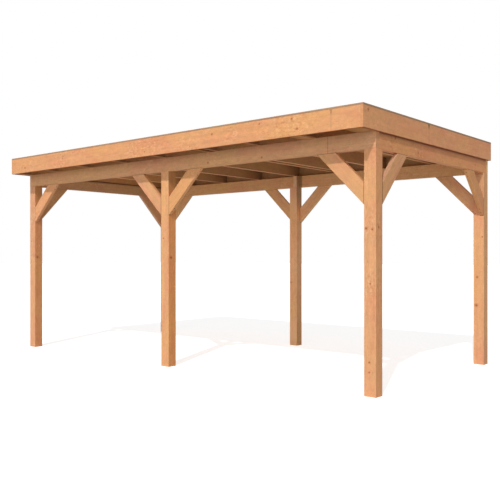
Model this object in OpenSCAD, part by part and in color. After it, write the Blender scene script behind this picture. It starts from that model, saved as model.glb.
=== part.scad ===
// Open timber veranda with a flat roof. Six square posts stand straight on the ground.
// A ring of beams lies in notches cut in the post heads, and knee braces stiffen it.
// Rafters lie on the ring, reach forward past the front posts and carry a boarded,
// rubber-covered roof that sits behind four fascia boards.
// Millimetres, +Z up. The open long side faces -Y. The origin is on the ground under
// the middle of the roof.

/* [Frame] */
// Length over the outer faces of the corner posts
frame_length = 5335; // [4200:5:6600]
// Depth over the outer faces of the corner posts
frame_depth = 2690; // [1800:5:3600]
// Height from the ground to the underside of the ring beams
clear_height = 2235; // [1900:5:2600]

/* [Posts] */
// Side of the square posts
post_side = 120; // [100:5:160]
// Chamfer on the long edges of the posts
post_ease = 2; // [1:0.5:6]

/* [Ring beams] */
// Thickness of the ring beams
beam_thickness = 60; // [40:1:80]
// Height of the ring beams
beam_height = 160; // [120:5:220]
// Chamfer on the long edges of the beams, braces and rafters
timber_ease = 2; // [1:0.5:4]
// Play between a beam and the post tongue behind it
notch_play = 0.5; // [0.2:0.1:0.9]

/* [Knee braces] */
// Thickness of the braces, measured into the frame
brace_thickness = 45; // [35:1:90]
// Width of the braces, measured square to their length
brace_width = 142; // [90:1:180]
// Reach of a brace along the beam, and the same down the post
brace_leg = 500; // [380:5:700]

/* [Rafters] */
// Width of the rafters
rafter_width = 45; // [35:1:75]
// Height of the rafters
rafter_height = 145; // [95:5:220]
// How far the rafters reach past the front posts
rafter_reach = 250; // [120:5:400]
// Distance from the doubled rafter to its twin, centre to centre
twin_pitch = 112; // [80:1:300]

/* [Roof] */
// Thickness of the roof boards
deck_thickness = 20; // [15:1:28]
// Thickness of the rubber membrane
membrane_thickness = 1.5; // [1:0.1:3]
// Thickness of the fascia boards
fascia_thickness = 28; // [18:1:40]
// Height of the fascia boards
fascia_height = 195; // [180:1:260]
// How far the fascia boards hang below the top of the ring beams
fascia_drop = 8; // [0:1:9]
// Thickness of the cap strips on the fascia boards
cap_thickness = 17; // [10:1:28]
// Width of the cap strips
cap_width = 50; // [40:1:90]
// Chamfer on the long edges of the fascia boards
fascia_ease = 1.5; // [0.5:0.5:3]

/* [Hidden] */

// Cutters run past the faces they cut by this much
cut = 1;
// The rafters share the length of the roof in equal bays
rafter_count = 9;
rafter_bays = rafter_count - 1;
// The twin stands beside this rafter
doubled_rafter = 6;

post_colour = "#e0a173";
beam_colour = "#c08a5c";
brace_colour = "#e3a878";
rafter_colour = "#8a5c36";
deck_colour = "#b08050";
fascia_colour = "#e6a473";
cap_colour = "#c98f63";
membrane_colour = "#3a3b3d";

// Plan of the roof and of the posts under it
roof_length = frame_length + 2 * fascia_thickness;
roof_depth = rafter_reach + frame_depth + 2 * fascia_thickness;
roof_right = roof_length / 2;
roof_back = roof_depth / 2;
frame_right = frame_length / 2;
frame_left = -frame_right;
frame_back = roof_back - fascia_thickness;
frame_front = frame_back - frame_depth;
rafter_front = frame_front - rafter_reach;
post_half = post_side / 2;
post_left = frame_left + post_half;
post_right = frame_right - post_half;
post_front = frame_front + post_half;
post_back = frame_back - post_half;

// Levels, from the beams up
beam_top = clear_height + beam_height;
rafter_top = beam_top + rafter_height;
deck_top = rafter_top + deck_thickness;
fascia_bottom = beam_top - fascia_drop;
fascia_top = fascia_bottom + fascia_height;

rafter_pitch = roof_length / rafter_bays;
rafter_length = frame_back - rafter_front;

// Centre of a rafter, counted from 1 at the left. The outer two stand over the side
// beams, tight against the fascia boards.
function rafter_x(number) =
    number == 1 ? frame_left + rafter_width / 2 :
    number == rafter_count ? frame_right - rafter_width / 2 :
    -roof_right + (number - 1) * rafter_pitch;

// Timber section with its four corners chamfered, standing on the origin
module eased_section(width, height, ease) {
    polygon([
        [ease, 0], [width - ease, 0], [width, ease], [width, height - ease],
        [width - ease, height], [ease, height], [0, height - ease], [0, ease]
    ]);
}

// Timber of the given size whose length runs along X, Y or Z
module timber_x(size, ease) {
    rotate([90, 0, 90]) linear_extrude(size.x) eased_section(size.y, size.z, ease);
}

module timber_y(size, ease) {
    translate([0, size.y, 0]) rotate([90, 0, 0])
        linear_extrude(size.y) eased_section(size.x, size.z, ease);
}

module timber_z(size, ease) {
    linear_extrude(size.z) eased_section(size.x, size.y, ease);
}

// Cuts a notch as deep as a beam from one side of a post head
module head_notch(toward) {
    depth = beam_thickness + notch_play;
    reach = post_side + cut - depth;
    block = [post_side + 2 * cut, post_side + 2 * cut, beam_height + cut];
    translate([toward.x * reach, toward.y * reach, clear_height])
        translate([-block.x / 2, -block.y / 2, 0]) cube(block);
}

// Post with a square tongue at its head. The two notches that leave the tongue face the
// given sides.
module post(place, side_x, side_y) {
    color(post_colour) translate([place.x, place.y, 0]) difference() {
        translate([-post_half, -post_half, 0])
            timber_z([post_side, post_side, beam_top], post_ease);
        head_notch([side_x, 0]);
        head_notch([0, side_y]);
    }
}

// Long beam that runs over all three posts of a row, from its lower y
module long_beam(y) {
    color(beam_colour) translate([frame_left, y, clear_height])
        timber_x([frame_length, beam_thickness, beam_height], timber_ease);
}

// Side beam that fits between the two long beams, from its lower x
module side_beam(x) {
    length = frame_depth - 2 * beam_thickness;
    color(beam_colour) translate([x, frame_front + beam_thickness, clear_height])
        timber_y([beam_thickness, length, beam_height], timber_ease);
}

// Brace that rises along +X from a post face at x = 0 to a beam underside at z = 0, with
// its outer face on y = 0. The straight timber is sawn to those two planes.
module knee_brace() {
    slope = 45;
    blank = [brace_leg * sqrt(2) + 2 * brace_width, brace_thickness, brace_width];
    intersection() {
        translate([0, 0, -brace_leg]) rotate([0, -slope, 0])
            translate([-brace_width, 0, 0]) timber_x(blank, timber_ease);
        translate([0, 0, -brace_leg]) cube([brace_leg, brace_thickness, brace_leg]);
    }
}

// Brace in its place: corner is where it leaves the post, turn aims it, and a flipped
// one rises the other way
module brace(corner, turn, flipped = false) {
    color(brace_colour) translate([corner.x, corner.y, clear_height]) rotate([0, 0, turn])
        mirror([flipped ? 1 : 0, 0, 0]) knee_brace();
}

module rafter(x) {
    color(rafter_colour) translate([x - rafter_width / 2, rafter_front, beam_top])
        timber_y([rafter_width, rafter_length, rafter_height], timber_ease);
}

module roof_deck() {
    color(deck_colour) translate([frame_left, rafter_front, rafter_top])
        cube([frame_length, rafter_length, deck_thickness]);
}

// Rubber sheet on the boards, turned up behind the fascia boards as far as the caps
module roof_membrane() {
    upstand = fascia_top - deck_top;
    color(membrane_colour) translate([frame_left, rafter_front, deck_top]) difference() {
        cube([frame_length, rafter_length, upstand]);
        translate([membrane_thickness, membrane_thickness, membrane_thickness])
            cube([
                frame_length - 2 * membrane_thickness,
                rafter_length - 2 * membrane_thickness,
                upstand
            ]);
    }
}

// The front and back fascia boards fit between the side ones
module long_fascia(y) {
    color(fascia_colour) translate([frame_left, y, fascia_bottom])
        timber_x([frame_length, fascia_thickness, fascia_height], fascia_ease);
}

module side_fascia(x) {
    color(fascia_colour) translate([x, -roof_back, fascia_bottom])
        timber_y([fascia_thickness, roof_depth, fascia_height], fascia_ease);
}

// Cap strip mitred at both ends. It lies along one side of the roof, whose length is
// given, with its outer edge at the given distance from the middle.
module cap_strip(length, outer_edge, turn) {
    outer = length / 2;
    color(cap_colour) rotate([0, 0, turn]) translate([0, -outer_edge, fascia_top])
        linear_extrude(cap_thickness) polygon([
            [-outer, 0], [outer, 0],
            [outer - cap_width, cap_width], [cap_width - outer, cap_width]
        ]);
}

post([post_left, post_front], -1, -1);  // post_front_left
post([0, post_front], -1, -1);  // post_front_middle
post([post_right, post_front], 1, -1);  // post_front_right
post([post_left, post_back], -1, 1);  // post_back_left
post([0, post_back], -1, 1);  // post_back_middle
post([post_right, post_back], 1, 1);  // post_back_right

long_beam(frame_front);  // beam_front
long_beam(frame_back - beam_thickness);  // beam_back
side_beam(frame_left);  // beam_left
side_beam(frame_right - beam_thickness);  // beam_right

brace([post_left + post_half, frame_front], 0);  // brace_front_left
brace([-post_half, frame_front], 0, flipped = true);  // brace_front_middle_left
brace([post_half, frame_front], 0);  // brace_front_middle_right
brace([post_right - post_half, frame_front], 0, flipped = true);  // brace_front_right
brace([post_left + post_half, frame_back], 180, flipped = true);  // brace_back_left
brace([-post_half, frame_back], 180);  // brace_back_middle_left
brace([post_half, frame_back], 180, flipped = true);  // brace_back_middle_right
brace([post_right - post_half, frame_back], 180);  // brace_back_right
brace([frame_left, post_front + post_half], -90, flipped = true);  // brace_left_front
brace([frame_left, post_back - post_half], -90);  // brace_left_back
brace([frame_right, post_front + post_half], 90);  // brace_right_front
brace([frame_right, post_back - post_half], 90, flipped = true);  // brace_right_back

for (number = [1:rafter_count])
    rafter(rafter_x(number));
rafter(rafter_x(doubled_rafter) + twin_pitch);  // rafter_twin

roof_deck();
roof_membrane();

long_fascia(-roof_back);  // fascia_front
long_fascia(roof_back - fascia_thickness);  // fascia_back
side_fascia(-roof_right);  // fascia_left
side_fascia(roof_right - fascia_thickness);  // fascia_right

cap_strip(roof_length, roof_back, 0);  // cap_front
cap_strip(roof_depth, roof_right, 90);  // cap_right
cap_strip(roof_length, roof_back, 180);  // cap_back
cap_strip(roof_depth, roof_right, -90);  // cap_left
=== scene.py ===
"""Looks of the flat-roof timber veranda: planed Douglas fir, roof boards and screws."""
import math
import random

import bmesh
import bpy
from mathutils import Euler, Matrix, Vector


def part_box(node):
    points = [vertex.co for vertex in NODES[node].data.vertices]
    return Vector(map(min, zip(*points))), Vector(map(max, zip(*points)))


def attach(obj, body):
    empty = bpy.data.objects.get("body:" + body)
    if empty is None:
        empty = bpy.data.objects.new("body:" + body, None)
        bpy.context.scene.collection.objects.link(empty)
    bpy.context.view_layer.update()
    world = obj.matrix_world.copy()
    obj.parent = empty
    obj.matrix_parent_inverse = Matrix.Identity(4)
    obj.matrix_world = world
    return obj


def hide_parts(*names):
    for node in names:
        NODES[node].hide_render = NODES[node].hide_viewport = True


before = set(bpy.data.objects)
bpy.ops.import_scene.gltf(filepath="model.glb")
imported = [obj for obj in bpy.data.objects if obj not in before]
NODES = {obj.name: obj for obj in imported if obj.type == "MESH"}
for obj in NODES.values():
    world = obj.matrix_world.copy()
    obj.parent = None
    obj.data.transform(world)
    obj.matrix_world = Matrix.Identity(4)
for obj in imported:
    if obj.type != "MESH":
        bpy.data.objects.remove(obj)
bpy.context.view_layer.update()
BODY = "root"


def srgb(red, green, blue):
    """Linear colour, with alpha, of a colour written as 0 to 255 on a screen."""
    def linear(value):
        value /= 255
        return value / 12.92 if value <= 0.04045 else ((value + 0.055) / 1.055) ** 2.4
    return linear(red), linear(green), linear(blue), 1.0


# ---------------------------------------------------------------- materials and objects

# A Mix node's colour sockets share their names with others, so they go by number
MIX_FIRST = 6
MIX_SECOND = 7
MIX_RESULT = 2
# Most of a noise lies between these values
NOISE_SPAN = (0.3, 0.7)
NOISE_CENTRE = (0.5, 0.5, 0.5)


class Graph:
    """Adds nodes to a material, world or group, and links them as they are made."""

    def __init__(self, tree):
        self.tree = tree

    def add(self, kind, inputs=None, **settings):
        node = self.tree.nodes.new(kind)
        for name, value in settings.items():
            setattr(node, name, value)
        for name, value in (inputs or {}).items():
            self.feed(node.inputs[name], value)
        return node

    def feed(self, socket, value):
        if isinstance(value, bpy.types.NodeSocket):
            self.tree.links.new(value, socket)
        else:
            socket.default_value = value

    def math(self, operation, *values):
        node = self.add("ShaderNodeMath", operation=operation)
        for socket, value in zip(node.inputs, values):
            self.feed(socket, value)
        return node.outputs[0]

    def vector(self, operation, *values):
        node = self.add("ShaderNodeVectorMath", operation=operation)
        for socket, value in zip(node.inputs, values):
            self.feed(socket, value)
        return node.outputs["Value" if operation in ("LENGTH", "DOT_PRODUCT") else "Vector"]

    def axes(self, vector):
        return self.add("ShaderNodeSeparateXYZ", {"Vector": vector}).outputs

    def noise(self, vector, scale, detail=2.0, roughness=0.5):
        node = self.add("ShaderNodeTexNoise", {
            "Vector": vector, "Scale": scale, "Detail": detail, "Roughness": roughness})
        return node.outputs["Fac"]

    def remap(self, value, low, high, to_low=0.0, to_high=1.0, smooth=False):
        node = self.add("ShaderNodeMapRange", {
            "Value": value, "From Min": low, "From Max": high,
            "To Min": to_low, "To Max": to_high},
            interpolation_type="SMOOTHSTEP" if smooth else "LINEAR")
        return node.outputs["Result"]

    def mix(self, factor, first, second, blend="MIX"):
        node = self.add("ShaderNodeMix", data_type="RGBA", blend_type=blend)
        self.feed(node.inputs["Factor"], factor)
        self.feed(node.inputs[MIX_FIRST], first)
        self.feed(node.inputs[MIX_SECOND], second)
        return node.outputs[MIX_RESULT]

    def tint(self, colour, tint):
        """The colour, with its red, green and blue each multiplied by the tint's."""
        return self.mix(1.0, colour, (*tint, 1), "MULTIPLY")


def new_material(name):
    """A material, with the graph that adds to it and its shader."""
    material = bpy.data.materials.new(name)
    material.use_nodes = True
    return material, Graph(material.node_tree), material.node_tree.nodes["Principled BSDF"]


def new_object(name, mesh):
    """An object in the scene, made of the given mesh, which is used up."""
    data = bpy.data.meshes.new(name)
    mesh.to_mesh(data)
    mesh.free()
    obj = bpy.data.objects.new(name, data)
    bpy.context.scene.collection.objects.link(obj)
    return obj


def paint(obj, material):
    obj.data.materials.clear()
    obj.data.materials.append(material)


def rotation_of(turn):
    """Rotation by three angles in degrees."""
    return Euler([math.radians(angle) for angle in turn])


# ---------------------------------------------------------------- wood

# Colours of planed Douglas fir, from pale spring wood to dark knots
PEACH = srgb(240, 176, 126)
YELLOW = srgb(240, 179, 120)
ROSE = srgb(238, 166, 120)
SUMMER = srgb(192, 116, 70)
FLECK = srgb(212, 126, 78)
RESIN = srgb(252, 206, 160)
KNOT = srgb(140, 66, 34)
KNOT_RIM = srgb(196, 108, 62)
# The dark of a joint's line and chip, also used as painted shade in corners
DIRT_AND_SHADE = srgb(74, 38, 18)

# Knots scattered in the timber: how far apart across and along it, how freely they lie, the
# share of places without one, and their size
KNOT_SPACING = (0.17, 0.17, 0.55)
KNOT_FREEDOM = 0.9
KNOTLESS_SHARE = 0.35
KNOT_RADIUS = 0.008
KNOT_LEAST_RADIUS = 0.0005
# Their outline is uneven: the noise's scale, and how far it pushes
KNOT_NOISE_SCALE = 160.0
KNOT_NOISE_REACH = 0.002
# Where a knot fades into the wood, and where the wood around it does, in radii of the knot
KNOT_EDGE = (0.7, 1.1)
KNOT_SURROUND = (1.0, 3.2)

RING_PITCH = 0.0045
# How dark the wood is at each moment of a year's growth
RING_PROFILE = ((0.0, 0.25), (0.12, 0.0), (0.55, 0.12), (0.82, 0.75), (0.95, 1.0), (1.0, 0.9))
# The pith wanders: stretch along the grain, scale, and how far to each side
SLOW_WANDER = (0.32, 2.6, 0.10)
QUICK_WANDER = (0.12, 22.0, 0.006)
KNOT_PUSH = 0.009
# Summer wood is darker in some years than in others
YEAR_SCALE = 0.35
YEAR_SPAN = (0.25, 0.75)
YEAR_STRENGTH = (0.25, 0.95)

# Clusters of resin flecks: stretch along the grain, scale, where one ends, and how dense it is
CLUSTER_STRETCH = 0.5
CLUSTER_SCALE = 4.2
CLUSTER_EDGE = (0.54, 0.72)
CHANCE_CLUSTER = 0.8
GIVEN_CLUSTER = 0.75
# The flecks in them, red below the middle of the noise and pale above it
FLECK_STRETCH = 0.6
FLECK_SCALE = 50.0
FLECK_STRENGTH = 0.65
RED_FLECKS = (0.44, 0.34)
PALE_FLECKS = (0.56, 0.66)

# Patterns in the wood: stretch along the grain, scale, and detail
PATTERNS = {
    "hue": (0.4, 7.0, 3.0), "tone": (0.3, 4.3, 3.0), "blotch": (0.5, 26.0, 3.0),
    "speckle": (0.7, 85.0, 2.0), "streak": (0.04, 42.0, 3.0), "fibre": (0.025, 420.0, 3.0),
}
PATTERN_ROUGHNESS = 0.6
# How much lighter and darker each of them makes the wood
SHADES = {"blotch": 0.07, "speckle": 0.055, "streak": 0.045, "fibre": 0.03}
# Where the hue turns rose, and the tone yellow, and how yellow it gets
ROSE_EDGE = (0.4, 0.62)
YELLOW_EDGE = (0.42, 0.64)
YELLOW_SHARE = 0.9
# How much summer wood, the wood around knots, knots and end grain show
SUMMER_SHARE = 0.35
SURROUND_SHARE = 0.3
KNOT_SHARE = 0.8
END_SHARE = 0.15

WOOD_SPECULAR = 0.35
FIBRE_ROUGHNESS = (0.52, 0.66)
SUMMER_ROUGHNESS = -0.08
# Relief: summer wood and fibres stand up, knots lie lower
SUMMER_RELIEF = 0.35
FIBRE_SPAN = (0.2, 0.8)
FIBRE_RELIEF = 0.5
KNOT_RELIEF = 0.4
RELIEF_STRENGTH = 0.25
RELIEF_DEPTH = 0.0006

# A seed moves a timber to its own place in the noise, by these amounts across and along it
SEED_ACROSS = 1.7
SEED_ALONG = 2.3


def along_grain(graph, place, stretch):
    """Coordinates that draw a pattern out along the grain, 1 / stretch times as long."""
    return graph.vector("MULTIPLY", place, (1.0, 1.0, stretch))


def scattered_knots(graph, own):
    """How much of a point is knot, and how near it is to one. Knots are small balls
    scattered in the timber, which its faces cut."""
    cells = graph.vector("DIVIDE", own, KNOT_SPACING)
    cell = graph.add("ShaderNodeTexVoronoi", {
        "Vector": cells, "Scale": 1.0, "Randomness": KNOT_FREEDOM}, feature="F1")
    offset = graph.vector("MULTIPLY", graph.vector("SUBTRACT", cells, cell.outputs["Position"]),
                          KNOT_SPACING)
    push = graph.remap(graph.noise(own, KNOT_NOISE_SCALE), 0, 1,
                       -KNOT_NOISE_REACH, KNOT_NOISE_REACH)
    distance = graph.math("ADD", graph.vector("LENGTH", offset), push)
    chance = graph.add("ShaderNodeSeparateColor", {"Color": cell.outputs["Color"]}).outputs[0]
    radius = graph.remap(chance, KNOTLESS_SHARE, 1.0, 0.0, KNOT_RADIUS)
    inside = graph.math("DIVIDE", distance, graph.math("MAXIMUM", radius, KNOT_LEAST_RADIUS))
    knot = graph.remap(inside, *KNOT_EDGE, 1.0, 0.0, smooth=True)
    around = graph.remap(inside, *KNOT_SURROUND, 1.0, 0.0, smooth=True)
    return knot, around


def wander(graph, own, stretch, scale, reach):
    """A shift across the grain, which changes along the timber."""
    noise = graph.add("ShaderNodeTexNoise", {
        "Vector": along_grain(graph, own, stretch), "Scale": scale, "Detail": 2.0})
    aside = graph.vector("SUBTRACT", noise.outputs["Color"], NOISE_CENTRE)
    return graph.vector("MULTIPLY", aside, (reach, reach, 0.0))


def growth_rings(graph, place, own, seed, around):
    """Share of dark summer wood: rings about a pith that wanders, bent aside by knots."""
    moved = graph.vector("ADD", place, wander(graph, own, *SLOW_WANDER))
    moved = graph.vector("ADD", moved, wander(graph, own, *QUICK_WANDER))
    across = graph.vector("LENGTH", graph.vector("MULTIPLY", moved, (1.0, 1.0, 0.0)))
    depth = graph.math("ADD", across, graph.math("MULTIPLY", around, KNOT_PUSH))
    count = graph.math("DIVIDE", depth, RING_PITCH)
    late = graph.add("ShaderNodeValToRGB", {"Fac": graph.math("FRACT", count)})
    stops = late.color_ramp.elements
    for moment, _ in RING_PROFILE[1:-1]:
        stops.new(moment)
    for stop, (_, level) in zip(stops, RING_PROFILE):
        stop.color = (level, level, level, 1)
    years = graph.add("ShaderNodeCombineXYZ", {"X": count, "Y": seed}).outputs[0]
    strength = graph.remap(graph.noise(years, YEAR_SCALE, detail=1.0), *YEAR_SPAN,
                           *YEAR_STRENGTH)
    return graph.math("MULTIPLY", late.outputs["Color"], strength)


def flecked(graph, own, colour, given):
    """Clusters of small resin flecks, some lighter and some redder than the wood."""
    chance = graph.noise(along_grain(graph, own, CLUSTER_STRETCH), CLUSTER_SCALE)
    cluster = graph.remap(chance, *CLUSTER_EDGE, 0.0, CHANCE_CLUSTER)
    cluster = graph.math("MAXIMUM", cluster, graph.math("MULTIPLY", given, GIVEN_CLUSTER))
    dots = graph.noise(along_grain(graph, own, FLECK_STRETCH), FLECK_SCALE,
                       roughness=PATTERN_ROUGHNESS)
    for span, tone in ((RED_FLECKS, FLECK), (PALE_FLECKS, RESIN)):
        share = graph.math("MULTIPLY", graph.remap(dots, *span), cluster)
        colour = graph.mix(graph.math("MULTIPLY", share, FLECK_STRENGTH), colour, tone)
    return colour


def timber_group():
    """Solid timber whose length is along Z and whose pith is on the Z axis."""
    tree = bpy.data.node_groups.new("timber", "ShaderNodeTree")
    for name, kind in (("Vector", "Vector"), ("Seed", "Float"), ("End", "Float"),
                       ("Flecks", "Float")):
        tree.interface.new_socket(name, in_out="INPUT", socket_type="NodeSocket" + kind)
    for name, kind in (("Color", "Color"), ("Roughness", "Float"), ("Height", "Float")):
        tree.interface.new_socket(name, in_out="OUTPUT", socket_type="NodeSocket" + kind)
    graph = Graph(tree)
    given = graph.add("NodeGroupInput").outputs
    place, seed, end = given["Vector"], given["Seed"], given["End"]
    shift = graph.add("ShaderNodeCombineXYZ", {
        "X": seed, "Y": graph.math("MULTIPLY", seed, SEED_ACROSS),
        "Z": graph.math("MULTIPLY", seed, SEED_ALONG)})
    own = graph.vector("ADD", place, shift.outputs[0])
    knot, around = scattered_knots(graph, own)
    late = growth_rings(graph, place, own, seed, around)
    pattern = {}
    for name, (stretch, scale, detail) in PATTERNS.items():
        pattern[name] = graph.noise(along_grain(graph, own, stretch), scale, detail,
                                    PATTERN_ROUGHNESS)

    colour = graph.mix(graph.remap(pattern["hue"], *ROSE_EDGE), PEACH, ROSE)
    yellow = graph.remap(pattern["tone"], *YELLOW_EDGE, 0.0, YELLOW_SHARE)
    colour = graph.mix(yellow, colour, YELLOW)
    colour = graph.mix(graph.math("MULTIPLY", late, SUMMER_SHARE), colour, SUMMER)
    colour = flecked(graph, own, colour, given["Flecks"])
    shade = 1.0
    for name, depth in SHADES.items():
        lighter = graph.remap(pattern[name], *NOISE_SPAN, -depth, depth)
        shade = graph.math("ADD", shade, lighter)
    shaded = graph.add("ShaderNodeVectorMath", {"Scale": shade}, operation="SCALE")
    graph.feed(shaded.inputs[0], colour)
    colour = shaded.outputs["Vector"]
    for what, strength, tone in (
            (around, SURROUND_SHARE, KNOT_RIM), (knot, KNOT_SHARE, KNOT), (end, END_SHARE, SUMMER)):
        colour = graph.mix(graph.math("MULTIPLY", what, strength), colour, tone)

    rough = graph.math("ADD", graph.remap(pattern["fibre"], *NOISE_SPAN, *FIBRE_ROUGHNESS),
                       graph.math("MULTIPLY", late, SUMMER_ROUGHNESS))
    height = graph.math("ADD", graph.math("MULTIPLY", late, SUMMER_RELIEF),
                        graph.remap(pattern["fibre"], *FIBRE_SPAN, 0.0, FIBRE_RELIEF))
    height = graph.math("SUBTRACT", height, graph.math("MULTIPLY", knot, KNOT_RELIEF))
    graph.add("NodeGroupOutput", {"Color": colour, "Roughness": rough, "Height": height})
    return tree


TIMBER = timber_group()


# ---------------------------------------------------------------- what each timber shows

# Knots that show: place, and radius in millimetres
MILLIMETRES = 1000
KNOTS = {
    "fascia_front": ((-2.38, -1.50, 2.45, 9), (-1.55, -1.50, 2.50, 6), (0.96, -1.50, 2.52, 8),
                     (1.57, -1.50, 2.55, 6), (1.95, -1.50, 2.55, 8), (2.01, -1.50, 2.45, 9)),
    "fascia_right": ((2.70, -1.41, 2.55, 10),),
    "beam_right": ((2.67, -0.85, 2.37, 9), (2.67, -0.37, 2.28, 9), (2.67, 1.09, 2.30, 7)),
    "beam_front": ((0.66, -1.22, 2.28, 7), (1.39, -1.22, 2.27, 7)),
    "post_front_right": ((2.57, -1.22, 1.52, 8), (2.63, -1.22, 1.51, 8), (2.67, -1.17, 1.53, 9),
                         (2.61, -1.22, 1.02, 6), (2.60, -1.22, 0.31, 7), (2.60, -1.22, 0.22, 6)),
    "post_back_right": ((2.58, 1.35, 0.69, 12), (2.59, 1.35, 1.02, 9), (2.65, 1.35, 1.49, 6)),
    "post_front_middle": ((0.06, -1.18, 1.25, 12), (-0.02, -1.22, 1.47, 6)),
    "post_front_left": ((-2.55, -1.18, 1.25, 11), (-2.63, -1.22, 1.47, 5)),
    "post_back_middle": ((-0.04, 1.35, 0.89, 7),),
}

# Where resin flecks gather: middle of the patch, and its reach in metres
FLECKS = {
    "fascia_front": ((-0.06, -1.50, 2.50, 0.42), (1.22, -1.50, 2.50, 0.16),
                     (1.93, -1.50, 2.50, 0.38), (-1.60, -1.50, 2.47, 0.20)),
    "beam_right": ((2.67, -0.38, 2.30, 0.20), (2.67, -0.90, 2.30, 0.16)),
    "post_front_right": ((2.61, -1.22, 1.55, 0.20), (2.60, -1.22, 1.00, 0.18)),
}

# Butt joints across a board: axis, place, tint of the second half, and how dark the joint is
SEAMS = {
    "fascia_front": ("X", 2.374, (1.0, 1.03, 1.02), 0.35),
    "fascia_right": ("Y", -0.186, (1.0, 0.99, 0.98), 0.8),
    "beam_front": ("X", 2.167, (1.0, 1.01, 1.03), 0.6),
}
# Half the width of a joint's line, and how many times as wide it is where it has faded out
SEAM_WIDTH = 0.0016
SEAM_FADE = 1.6
# The boards' upper corners have chipped at a joint: how far down, and how wide at the top
CHIP_DEPTH = 0.055
CHIP_WIDTH = 0.034

# Painted light and shade over stretches of a timber, such as painted shade on the heads of posts:
# two corners of a box, how far its edge fades along each axis, and the tint
LIGHT_AND_SHADE_PATCHES = {
    "post_front_middle": (((0.058, -1.23, 2.16), (0.070, -1.09, 2.24), (0.003, 0.003, 0.30),
                           (0.66, 0.72, 0.74)),),
    "post_front_left": (((-2.550, -1.23, 2.16), (-2.540, -1.09, 2.24), (0.003, 0.003, 0.26),
                         (0.80, 0.84, 0.78)),),
    "post_back_middle": (((0.058, 1.35, 2.16), (0.070, 1.48, 2.41), (0.003, 0.003, 0.35),
                          (0.56, 0.63, 0.62)),
                         ((-0.070, 1.34, 2.25), (0.054, 1.355, 2.41), (0.003, 0.003, 0.01),
                          (0.98, 1.18, 1.32)),
                         ((-0.070, 1.34, 1.95), (0.054, 1.355, 2.20), (0.003, 0.003, 0.20),
                          (1.10, 1.18, 1.30)),
                         ((-0.070, 1.34, 0.00), (0.054, 1.355, 0.15), (0.003, 0.003, 0.35),
                          (1.15, 1.22, 1.42))),
    "beam_back": (((0.055, 1.40, 2.20), (0.100, 1.42, 2.41), (0.015, 0.003, 0.01),
                   (0.50, 0.54, 0.56)),),
    "post_back_right": (((2.54, 1.34, 2.00), (2.662, 1.355, 2.24), (0.003, 0.003, 0.15),
                         (0.82, 0.86, 0.86)),),
}

# How each kind of timber, or one timber, differs from the planed wood of the front board: partly
# its own tone, partly painted light and shade, which lightens timbers deep in shade such as the
# back beam, back braces and back middle post
TONE_AND_LIGHT_TINTS = {
    "deck": (0.88, 0.93, 0.72), "cap": (0.58, 0.69, 0.83), "cap_right": (0.52, 0.63, 0.74),
    "fascia_right": (0.98, 0.96, 0.94), "fascia_back": (1.10, 1.20, 1.30),
    "beam_right": (0.92, 0.84, 0.75), "beam_back": (1.08, 1.31, 1.29),
    "beam_front": (0.93, 1.02, 1.10), "beam_left": (0.80, 0.98, 1.04),
    "post_front_right": (0.99, 1.02, 1.03), "brace_front_right": (0.95, 1.00, 1.03),
    "post_back_middle": (1.14, 1.26, 1.32), "post_back_right": (0.97, 0.98, 1.02),
    "post_front_middle": (1.00, 1.03, 1.02), "post_front_left": (0.97, 1.01, 1.10),
    "brace_back_left": (1.12, 1.30, 1.36), "brace_back_middle_left": (1.08, 1.28, 1.38),
    "brace_back_middle_right": (1.10, 1.32, 1.42), "brace_back_right": (0.98, 1.11, 1.16),
    "brace_left_front": (0.81, 0.96, 0.97), "brace_left_back": (0.94, 1.05, 1.16),
    "brace_right_front": (0.90, 0.92, 0.96), "brace_right_back": (0.88, 0.86, 0.80),
    "brace_front_middle_right": (0.97, 0.95, 0.92), "brace_front_middle_left": (0.99, 1.02, 1.10),
    "rafter_1": (1.34, 1.28, 1.18), "rafter_2": (1.28, 1.24, 1.16),
    "rafter_6": (0.90, 0.82, 0.72), "rafter_7": (0.95, 0.91, 0.93), "rafter_8": (0.84, 0.76, 0.66),
}
# Painted shade and light on single faces, such as a post's side or a brace's upper face: which way,
# and the tint
DOWN = (0, 0, -1)
FACE_SHADE_TINTS = {
    "post_front_right": (((1, 0, 0), (0.99, 0.97, 0.88)),),
    "post_front_middle": (((1, 0, 0), (0.95, 0.84, 0.63)),),
    "post_front_left": (((1, 0, 0), (0.94, 0.85, 0.68)),),
    "post_back_right": (((1, 0, 0), (0.92, 0.98, 0.96)),),
    "brace_right_front": (((0, -0.7, 0.7), (0.80, 0.88, 1.20)),),
    "brace_right_back": (((0, -0.7, -0.7), (0.97, 0.98, 0.95)),),
    "beam_front": (((1, 0, 0), (1.00, 0.93, 0.84)), (DOWN, (0.92, 0.86, 0.72))),
}
# Painted shade on the sides that light reaches less: a rafter's sides and a fascia's inner side are
# darker, a rafter's underside keeps its tone
SIDE_SHADE = (0.56, 0.63, 0.58)
# Painted shade on the lower edge of a fascia, which is darker
UNDERSIDE_SHADE = (0.42, 0.24, 0.10)
# Which way each fascia's inner side looks
INWARD = {
    "fascia_front": (0, 1, 0), "fascia_back": (0, -1, 0),
    "fascia_left": (1, 0, 0), "fascia_right": (-1, 0, 0),
}
# How squarely a face must look a given way to take its tint, and to count as end grain
FACE_EDGE = (0.5, 0.9)
END_EDGE = (0.6, 0.75)

# The knots above: uneven outline, rim and core, with their reach in radii and their strength
GIVEN_KNOT_NOISE_SCALE = 120.0
GIVEN_KNOT_NOISE_REACH = 0.003
RIM_REACH = 2.6
RIM_STRENGTH = 0.55
CORE_EDGE = (0.3, 1.1)
CORE_STRENGTH = 0.85
# Within this share of its reach, a fleck patch is at its densest
FLECK_CORE = 0.4

# Painted shade under the side fascias, on the ring beams: how dark, how far down, how steeply it
# fades
FASCIA_SHADE = 0.85
FASCIA_SHADE_REACH = 0.05
FASCIA_SHADE_FALL = 3.0
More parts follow.
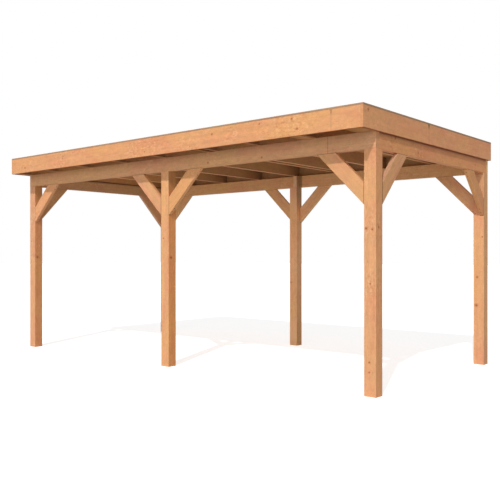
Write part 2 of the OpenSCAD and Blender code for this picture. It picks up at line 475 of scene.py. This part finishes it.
# Painted shade under the roof: in front of the front beam, and towards the back beam
EAVES_SHADE = 0.5
EAVES_OUTSIDE = 0.03
EAVES_INSIDE = 0.01
BACK_SHADE = 0.35
BACK_SHADE_REACH = 0.45
# Painted shade in the joints of a brace: at its head, and at its foot along X and along Y, with the
# distances from the brace's end over which it fades
HEAD_SHADE = 0.5
HEAD_SHADE_EDGE = (0.006, 0.004)
FOOT_SHADE = (0.5, 0.8)
FOOT_SHADE_EDGE = (0.005, 0.009)

# Turns that lay a timber's length along Z
UPRIGHT = (0, 0, 0)
ALONG_X = (0, -90, 0)
ALONG_Y = (90, 0, 0)
BRACE_ANGLE = 45


def brace_lie(node):
    """Which axis a knee brace runs along (0 or 1), and which way it leaves its post."""
    low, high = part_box(node)
    middle = (low + high) / 2
    post = min((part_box(name) for name in NODES if name.startswith("post")),
               key=lambda box: ((box[0] + box[1]) / 2 - middle).xy.length)
    away = middle - (post[0] + post[1]) / 2
    axis = 0 if high.x - low.x > high.y - low.y else 1
    return axis, 1 if away[axis] > 0 else -1


def brace_turn(node):
    """Turn that lays a knee brace's grain along Z, from the post it springs from."""
    axis, way = brace_lie(node)
    return (0, -BRACE_ANGLE * way, 0) if axis == 0 else (BRACE_ANGLE * way, 0, 0)


def grain_turn(node):
    if node.startswith("post"):
        return UPRIGHT
    if node.startswith("brace"):
        return brace_turn(node)
    low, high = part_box(node)
    size = high - low
    return ALONG_X if size.x > size.y else ALONG_Y


def fleck_share(graph, place, patches):
    """How strongly a point lies in one of the fleck patches, 0 to 1."""
    share = 0.0
    for x, y, z, reach in patches:
        distance = graph.vector("LENGTH", graph.vector("SUBTRACT", place, (x, y, z)))
        near = graph.remap(distance, reach * FLECK_CORE, reach, 1.0, 0.0)
        share = graph.math("MAXIMUM", near, share)
    return share


def add_knots(graph, place, colour, knots):
    """Paints a knot with its reddish rim at each of the given places."""
    for x, y, z, radius in knots:
        offset = graph.vector("SUBTRACT", place, (x, y, z))
        push = graph.remap(graph.noise(place, GIVEN_KNOT_NOISE_SCALE), 0, 1,
                           -GIVEN_KNOT_NOISE_REACH, GIVEN_KNOT_NOISE_REACH)
        distance = graph.math("ADD", graph.vector("LENGTH", offset), push)
        size = radius / MILLIMETRES
        rim = graph.remap(distance, size, size * RIM_REACH, RIM_STRENGTH, 0.0, smooth=True)
        core_low, core_high = (size * edge for edge in CORE_EDGE)
        core = graph.remap(distance, core_low, core_high, CORE_STRENGTH, 0.0, smooth=True)
        colour = graph.mix(core, graph.mix(rim, colour, KNOT_RIM), KNOT)
    return colour


def add_seam(graph, place, colour, seam):
    """Two boards butted end to end: the second has another tone, and a dark line parts them,
    which widens to a chip at the top."""
    axis, where, tone, strength = seam
    axes = graph.axes(place)
    second = graph.math("GREATER_THAN", axes[axis], where)
    gap = graph.math("ABSOLUTE", graph.math("SUBTRACT", axes[axis], where))
    line = graph.remap(gap, SEAM_WIDTH, SEAM_WIDTH * SEAM_FADE, strength, 0.0)
    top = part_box("fascia_front")[1].z
    width = graph.remap(axes["Z"], top - CHIP_DEPTH, top, 0.0, CHIP_WIDTH / 2)
    chip = graph.math("MULTIPLY", graph.math("LESS_THAN", gap, width), strength)
    boards = graph.mix(second, colour, graph.tint(colour, tone))
    return graph.mix(graph.math("MAXIMUM", line, chip), boards, DIRT_AND_SHADE)


def paint_light_and_shade(graph, place, colour, patches):
    """Tints each given box with painted light or shade, with an edge that fades over the given
    lengths.
    """
    for low, high, fade, tint in patches:
        middle = (Vector(low) + Vector(high)) / 2
        half = (Vector(high) - Vector(low)) / 2
        offset = graph.vector("ABSOLUTE", graph.vector("SUBTRACT", place, tuple(middle)))
        beyond = graph.vector("MAXIMUM", graph.vector("SUBTRACT", offset, tuple(half)), (0, 0, 0))
        distance = graph.vector("LENGTH", graph.vector("DIVIDE", beyond, fade))
        share = graph.remap(distance, 0, 1, 1.0, 0.0, smooth=True)
        colour = graph.mix(share, colour, graph.tint(colour, tint))
    return colour


def paint_face_shade(graph, normal, colour, node):
    """Painted shade by face: darkens a rafter's sides and a fascia's inner side and lower edge, and
    tints the listed faces with painted light and shade.
    """
    faces = list(FACE_SHADE_TINTS.get(node, ()))
    if node in INWARD:
        faces += [(INWARD[node], SIDE_SHADE), (DOWN, UNDERSIDE_SHADE)]
    if node.startswith("rafter"):
        colour = graph.tint(colour, SIDE_SHADE)
        faces.append((DOWN, tuple(1 / level for level in SIDE_SHADE)))
    for way, tint in faces:
        share = graph.remap(graph.vector("DOT_PRODUCT", normal, way), *FACE_EDGE)
        colour = graph.mix(share, colour, graph.tint(colour, tint))
    return colour


def paint_corner_shade(graph, place, colour, node):
    """Painted shade in the corner under a fascia, under the eaves, or in the joints of a brace."""
    axes = graph.axes(place)
    low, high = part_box(node)
    if node in ("beam_left", "beam_right"):
        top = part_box("fascia_front")[0].z
        near = graph.remap(axes["Z"], top - FASCIA_SHADE_REACH, top)
        share = graph.math("MULTIPLY", graph.math("POWER", near, FASCIA_SHADE_FALL), FASCIA_SHADE)
    elif node.startswith("rafter") or node == "roof_deck":
        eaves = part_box("beam_front")[0].y
        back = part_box("beam_back")[0].y
        front_share = graph.remap(axes["Y"], eaves - EAVES_OUTSIDE, eaves + EAVES_INSIDE,
                                  EAVES_SHADE, 0.0)
        back_share = graph.remap(axes["Y"], back - BACK_SHADE_REACH, back, 0.0, BACK_SHADE)
        share = graph.math("MAXIMUM", front_share, back_share)
    elif node.startswith("brace"):
        axis, way = brace_lie(node)
        foot = low[axis] if way > 0 else high[axis]
        reach = graph.math("ABSOLUTE", graph.math("SUBTRACT", axes[axis], foot))
        head_low, head_high = (high.z - edge for edge in HEAD_SHADE_EDGE)
        head_share = graph.remap(axes["Z"], head_low, head_high, 0.0, HEAD_SHADE)
        foot_share = graph.remap(reach, *FOOT_SHADE_EDGE, FOOT_SHADE[axis], 0.0)
        share = graph.math("MAXIMUM", head_share, foot_share)
    else:
        return colour
    return graph.mix(share, colour, DIRT_AND_SHADE)


def timber(name, turn, centre, pith, seed, tint, node):
    """Material of one timber. turn lays its grain along Z, pith is the offset of the tree's
    heart from the timber's middle, across the grain, and node is the CAD node whose knots,
    joint, tones and painted light and shade it shows."""
    material, graph, shader = new_material(name)
    rotation = rotation_of(turn)
    middle = rotation.to_matrix() @ centre
    coordinates = graph.add("ShaderNodeTexCoord").outputs
    place = coordinates["Object"]
    laid = graph.add("ShaderNodeMapping", {
        "Vector": place, "Rotation": rotation,
        "Location": (pith[0] - middle.x, pith[1] - middle.y, 0)}).outputs[0]
    axis = rotation.to_matrix().transposed() @ Vector((0, 0, 1))
    facing = graph.vector("DOT_PRODUCT", coordinates["Normal"], tuple(axis))
    wood = graph.add("ShaderNodeGroup", node_tree=TIMBER)
    graph.feed(wood.inputs["Vector"], laid)
    graph.feed(wood.inputs["Seed"], seed)
    graph.feed(wood.inputs["End"], graph.remap(graph.math("ABSOLUTE", facing), *END_EDGE))
    graph.feed(wood.inputs["Flecks"], fleck_share(graph, place, FLECKS.get(node, ())))
    colour = add_knots(graph, place, wood.outputs["Color"], KNOTS.get(node, ()))
    if node in SEAMS:
        colour = add_seam(graph, place, colour, SEAMS[node])
    colour = graph.tint(colour, tint)
    colour = paint_face_shade(graph, coordinates["Normal"], colour, node)
    colour = paint_light_and_shade(graph, place, colour, LIGHT_AND_SHADE_PATCHES.get(node, ()))
    # Painted shade in corners, under the fascias and eaves and in brace joints
    colour = paint_corner_shade(graph, place, colour, node)
    relief = graph.add("ShaderNodeBump", {
        "Height": wood.outputs["Height"], "Strength": RELIEF_STRENGTH, "Distance": RELIEF_DEPTH})
    graph.feed(shader.inputs["Base Color"], colour)
    graph.feed(shader.inputs["Roughness"], wood.outputs["Roughness"])
    graph.feed(shader.inputs["Normal"], relief.outputs[0])
    shader.inputs["Specular IOR Level"].default_value = WOOD_SPECULAR
    return material


# How far timbers stray from each other: where the pith lies, their tone, and their seed
RANDOM_SEED = 7
PITH_X = (-0.05, 0.05)
PITH_Y = (0.05, 0.12)
OWN_LEVEL = (0.98, 1.02)
OWN_GREEN = (0.985, 1.015)
OWN_BLUE = (0.97, 1.03)
OWN_SEED = (1, 40)


def tint_of(name):
    """The tint of a timber, or of its kind."""
    return TONE_AND_LIGHT_TINTS.get(name, TONE_AND_LIGHT_TINTS.get(name.split("_")[0], (1, 1, 1)))


def dress_timbers():
    """Gives every CAD timber its own stretch of wood."""
    draw = random.Random(RANDOM_SEED)
    for name in sorted(NODES):
        if name in ("roof_deck", "roof_membrane"):
            continue
        low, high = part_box(name)
        pith = (draw.uniform(*PITH_X), draw.uniform(*PITH_Y))
        level = draw.uniform(*OWN_LEVEL)
        own = (level, level * draw.uniform(*OWN_GREEN), level * draw.uniform(*OWN_BLUE))
        tint = tuple(mine * shared for mine, shared in zip(own, tint_of(name)))
        seed = draw.uniform(*OWN_SEED)
        paint(NODES[name], timber(name + "_wood", grain_turn(name), (low + high) / 2, pith,
                                  seed, tint, name))


# ---------------------------------------------------------------- roof

BOARD_COUNT = 21
BOARD_GAP = 0.004
BOARD_CHAMFER = 0.007
BOARD_PITH = (0.0, 0.09)
BOARD_SEED = 51.0


def roof_boards():
    """Tongued boards across the rafters, with a V joint on their undersides. They meet
    end to end over the twin rafter."""
    low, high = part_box("roof_deck")
    twin_low, twin_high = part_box("rafter_twin")
    joint = (twin_low.x + twin_high.x) / 2
    pitch = (high.y - low.y) / BOARD_COUNT
    mesh = bmesh.new()
    for row in range(BOARD_COUNT):
        front = low.y + row * pitch + BOARD_GAP / 2
        back = front + pitch - BOARD_GAP
        section = [
            (front + BOARD_CHAMFER, low.z), (back - BOARD_CHAMFER, low.z),
            (back, low.z + BOARD_CHAMFER), (back, high.z), (front, high.z),
            (front, low.z + BOARD_CHAMFER)]
        for left, right in ((low.x, joint - BOARD_GAP / 2), (joint + BOARD_GAP / 2, high.x)):
            ends = [[mesh.verts.new((x, y, z)) for y, z in section] for x in (left, right)]
            mesh.faces.new(ends[0][::-1])
            mesh.faces.new(ends[1])
            for first in range(len(section)):
                second = (first + 1) % len(section)
                mesh.faces.new((ends[0][first], ends[0][second], ends[1][second], ends[1][first]))
    bmesh.ops.recalc_face_normals(mesh, faces=mesh.faces)
    boards = new_object("roof_boards", mesh)
    paint(boards, timber("roof_board_wood", ALONG_X, (low + high) / 2, BOARD_PITH, BOARD_SEED,
                         TONE_AND_LIGHT_TINTS["deck"], "roof_deck"))
    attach(boards, BODY)
    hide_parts("roof_deck")


RUBBER = srgb(46, 47, 49)
DUST = srgb(74, 73, 70)
DUST_STRETCH = (1.0, 0.25, 1.0)
DUST_SCALE = 5.0
# Where the dust thickens, and how much of it lies there
DUST_EDGE = (0.35, 0.75)
DUST_SHARE = (0.1, 0.7)
GRIT_SCALE = 340.0
GRIT_EDGE = (0.35, 0.65)
GRIT_SHARE = (0.4, 1.0)
GRIT_RELIEF = 0.12
CREASE_SCALE = 2.4
CREASE_STRENGTH = 0.5
CREASE_DEPTH = 0.003
RUBBER_ROUGHNESS = (0.62, 0.82)


def rubber():
    """Matt rubber sheet with fine dust, darker where rain has run, and faint creases."""
    material, graph, shader = new_material("rubber_sheet")
    place = graph.add("ShaderNodeTexCoord").outputs["Object"]
    dust = graph.noise(graph.vector("MULTIPLY", place, DUST_STRETCH), DUST_SCALE,
                       detail=6.0, roughness=0.7)
    grit = graph.noise(place, GRIT_SCALE)
    crease = graph.noise(place, CREASE_SCALE)
    share = graph.math("MULTIPLY", graph.remap(dust, *DUST_EDGE, *DUST_SHARE),
                       graph.remap(grit, *GRIT_EDGE, *GRIT_SHARE))
    graph.feed(shader.inputs["Base Color"], graph.mix(share, RUBBER, DUST))
    graph.feed(shader.inputs["Roughness"], graph.remap(dust, *NOISE_SPAN, *RUBBER_ROUGHNESS))
    height = graph.math("ADD", graph.math("MULTIPLY", grit, GRIT_RELIEF), crease)
    relief = graph.add("ShaderNodeBump", {
        "Height": height, "Strength": CREASE_STRENGTH, "Distance": CREASE_DEPTH})
    graph.feed(shader.inputs["Normal"], relief.outputs[0])
    return material


# ---------------------------------------------------------------- screws

SCREW_RADIUS = 0.006
SCREW_HEIGHT = 0.0016
SCREW_SINK = 0.001
# The head's section, from its side to its flat top, in shares of its radius and height
HEAD_SECTION = ((1.0, 0.35), (0.9, 0.8), (0.72, 1.0))
RECESS_RADIUS = 0.0026
RECESS_DEPTH = 0.0022
RECESS_TAPER = 0.92
LOBES = 6
LOBE_DEPTH = 0.16
SCREW_SIDES = 24
# How far the two screws are from the brace's end, along it
SCREW_PLACES = (0.050, 0.105)
ZINC = srgb(158, 138, 112)
DULL_ZINC = srgb(118, 102, 82)
ZINC_SCALE = 900.0
ZINC_ROUGHNESS = (0.35, 0.55)


def screw_head(mesh, place, turn):
    """Flat screw head, domed at its edge, with a six-lobed recess. Its top faces turn's Z."""
    def ring(radius, height, lobes=0.0):
        corners = []
        for side in range(SCREW_SIDES):
            angle = math.tau * side / SCREW_SIDES
            reach = radius * (1 + lobes * math.cos(LOBES * angle))
            spot = Vector((reach * math.cos(angle), reach * math.sin(angle), height))
            corners.append(mesh.verts.new(place + turn @ spot))
        return corners

    def join(outer, inner):
        for side in range(SCREW_SIDES):
            after = (side + 1) % SCREW_SIDES
            mesh.faces.new((outer[side], outer[after], inner[after], inner[side]))

    rings = [ring(SCREW_RADIUS, -SCREW_SINK)]
    for wide, tall in HEAD_SECTION:
        rings.append(ring(SCREW_RADIUS * wide, SCREW_HEIGHT * tall))
    rings.append(ring(RECESS_RADIUS, SCREW_HEIGHT, LOBE_DEPTH))
    rings.append(ring(RECESS_RADIUS * RECESS_TAPER, SCREW_HEIGHT - RECESS_DEPTH, LOBE_DEPTH))
    for outer, inner in zip(rings, rings[1:]):
        join(outer, inner)
    mesh.faces.new(rings[-1])
    mesh.faces.new(rings[0][::-1])


def zinc():
    """Zinc plating, dull and a little mottled."""
    material, graph, shader = new_material("zinc_plating")
    place = graph.add("ShaderNodeTexCoord").outputs["Object"]
    mottle = graph.noise(place, ZINC_SCALE, detail=3.0, roughness=0.6)
    graph.feed(shader.inputs["Base Color"],
               graph.mix(graph.remap(mottle, *NOISE_SPAN), ZINC, DULL_ZINC))
    graph.feed(shader.inputs["Roughness"], graph.remap(mottle, *NOISE_SPAN, *ZINC_ROUGHNESS))
    shader.inputs["Metallic"].default_value = 1.0
    return material


def brace_screws():
    """Two screws at each end of every knee brace, driven up through its lower face."""
    mesh = bmesh.new()
    up = Vector((0, 0, 1))
    for name in sorted(NODES):
        if not name.startswith("brace"):
            continue
        low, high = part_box(name)
        along = rotation_of(brace_turn(name)).to_matrix().transposed() @ up
        flat = Vector((along.x, along.y, 0)).normalized()
        middle = (low + high) / 2
        foot = Vector((middle.x, middle.y, low.z)) - flat * abs((high - low).dot(flat)) / 2
        length = (high.z - low.z) * math.sqrt(2)
        face = (flat - up).normalized().to_track_quat("Z", "Y").to_matrix()
        for distance in SCREW_PLACES + tuple(length - place for place in SCREW_PLACES):
            screw_head(mesh, foot + along * distance, face)
    bmesh.ops.recalc_face_normals(mesh, faces=mesh.faces)
    screws = new_object("brace_screws", mesh)
    paint(screws, zinc())
    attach(screws, BODY)


# ---------------------------------------------------------------- stage

# The camera stands 1.28 m above the ground, out from the front right post's outer corner
EYE_OFFSET = Vector((3.091, -5.759, 1.281))
EYE_TURN = 42.36
LENS = 51.03
SENSOR_WIDTH = 36
CLIP_END = 200
# The picture was cut from a wider one, so its middle is off the lens axis
SHIFT = (0.105, 0.0096)

SUN_DIRECTION = Vector((-0.41, 1.0, -0.92))
SUN_STRENGTH = 1.72
SUN_ANGLE = 1.0
FILL_DIRECTION = Vector((-0.38, 0.92, -0.09))
FILL_STRENGTH = 1.03
FILL_ANGLE = 30
SKY_LEVEL = 0.19

WHITE = (1, 1, 1, 1)
FLOOR_SIZE = 80
FLOOR_COLOUR = (0.9, 0.9, 0.9, 1)
FLOOR_ROUGHNESS = 0.9
# The floor's own light, for the camera only, whitens it and leaves a faint shadow
FLOOR_GLOW = 0.75


def camera():
    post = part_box("post_front_right")
    corner = Vector((post[1].x, post[0].y, 0))
    data = bpy.data.cameras.new("camera")
    data.sensor_width = SENSOR_WIDTH
    data.lens = LENS
    data.shift_x, data.shift_y = SHIFT
    data.clip_end = CLIP_END
    obj = bpy.data.objects.new("camera", data)
    obj.location = corner + EYE_OFFSET
    obj.rotation_euler = (math.radians(90), 0, math.radians(EYE_TURN))
    bpy.context.scene.collection.objects.link(obj)
    bpy.context.scene.camera = obj


def lamp(name, direction, strength, angle):
    data = bpy.data.lights.new(name, "SUN")
    data.energy = strength
    data.angle = math.radians(angle)
    obj = bpy.data.objects.new(name, data)
    obj.rotation_euler = direction.to_track_quat("-Z", "Y").to_euler()
    bpy.context.scene.collection.objects.link(obj)


def lights():
    """A sun, a wide low fill, and a weak even sky that the camera sees as white."""
    lamp("sun", SUN_DIRECTION, SUN_STRENGTH, SUN_ANGLE)
    lamp("fill", FILL_DIRECTION, FILL_STRENGTH, FILL_ANGLE)
    world = bpy.data.worlds.new("studio")
    bpy.context.scene.world = world
    world.use_nodes = True
    graph = Graph(world.node_tree)
    background = world.node_tree.nodes["Background"]
    seen = graph.add("ShaderNodeLightPath").outputs["Is Camera Ray"]
    background.inputs["Color"].default_value = WHITE
    graph.feed(background.inputs["Strength"], graph.remap(seen, 0, 1, SKY_LEVEL, 1.0))


def floor():
    mesh = bmesh.new()
    bmesh.ops.create_grid(mesh, x_segments=1, y_segments=1, size=FLOOR_SIZE)
    obj = new_object("floor", mesh)
    material, graph, shader = new_material("floor_white")
    shader.inputs["Base Color"].default_value = FLOOR_COLOUR
    shader.inputs["Roughness"].default_value = FLOOR_ROUGHNESS
    shader.inputs["Specular IOR Level"].default_value = 0.0
    seen = graph.add("ShaderNodeLightPath").outputs["Is Camera Ray"]
    shader.inputs["Emission Color"].default_value = WHITE
    graph.feed(shader.inputs["Emission Strength"], graph.math("MULTIPLY", seen, FLOOR_GLOW))
    paint(obj, material)


# ---------------------------------------------------------------- the scene

bpy.context.scene.view_settings.view_transform = "Standard"
camera()
lights()
floor()
dress_timbers()
roof_boards()
brace_screws()
paint(NODES["roof_membrane"], rubber())
